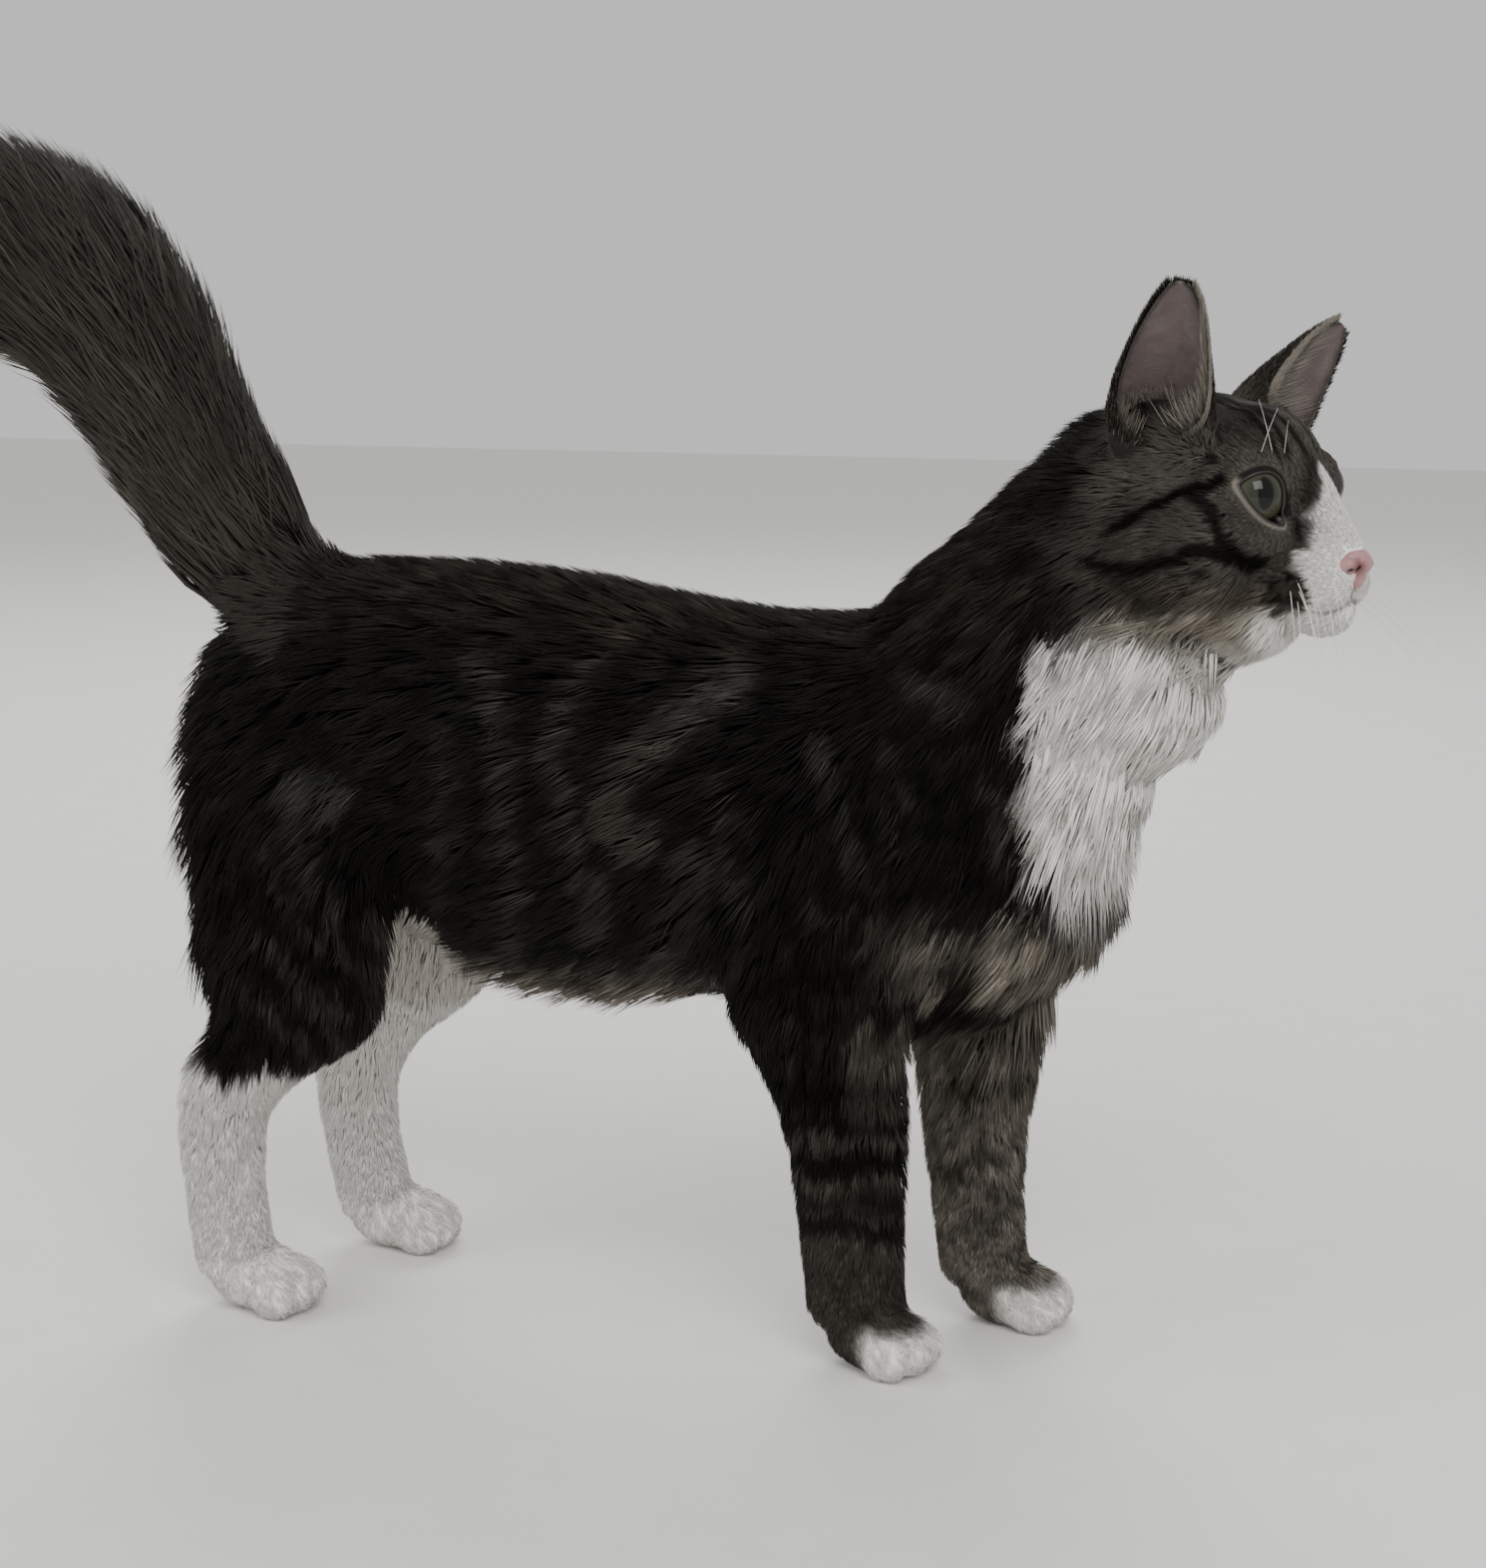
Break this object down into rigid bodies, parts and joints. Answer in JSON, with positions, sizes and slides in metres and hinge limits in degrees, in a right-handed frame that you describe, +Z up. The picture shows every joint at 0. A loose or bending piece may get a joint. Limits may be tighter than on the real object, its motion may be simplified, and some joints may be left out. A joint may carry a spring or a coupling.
{
  "type": "domestic medium hair cat",
  "caption": "Life-size still model of a standing medium-hair tabby and white cat, head turned, bushy tail raised behind.",
  "frame": {"origin": "on the floor below the middle of the whole model's box, tail included", "axes": "+X ahead, the way the body faces; +Y to the cat's left; +Z up"},
  "size_m": [0.5893, 0.1167, 0.4161],
  "materials": {
    "dark_tabby_coat": "soft medium-long fur, charcoal with black bands",
    "grey_tabby_coat": "short grey fur with dark lines and a white muzzle",
    "white_coat": "soft white fur",
    "ear_coat": "thin skin with short fur, pale hair inside",
    "nose_leather": "moist pink skin",
    "eye_surface": "clear wet eye with a grey-green iris"
  },
  "bodies": {
    "root": {"torso": "dark_tabby_coat", "neck": "dark_tabby_coat", "head": "grey_tabby_coat", "nose": "nose_leather", "right_ear": "ear_coat", "left_ear": "ear_coat", "right_eye": "eye_surface", "left_eye": "eye_surface", "right_foreleg": "dark_tabby_coat", "left_foreleg": "dark_tabby_coat", "right_forepaw": "white_coat", "left_forepaw": "white_coat", "right_hindleg": "dark_tabby_coat", "left_hindleg": "dark_tabby_coat", "right_hindpaw": "white_coat", "left_hindpaw": "white_coat", "tail": "dark_tabby_coat"}
  },
  "joints": []
}
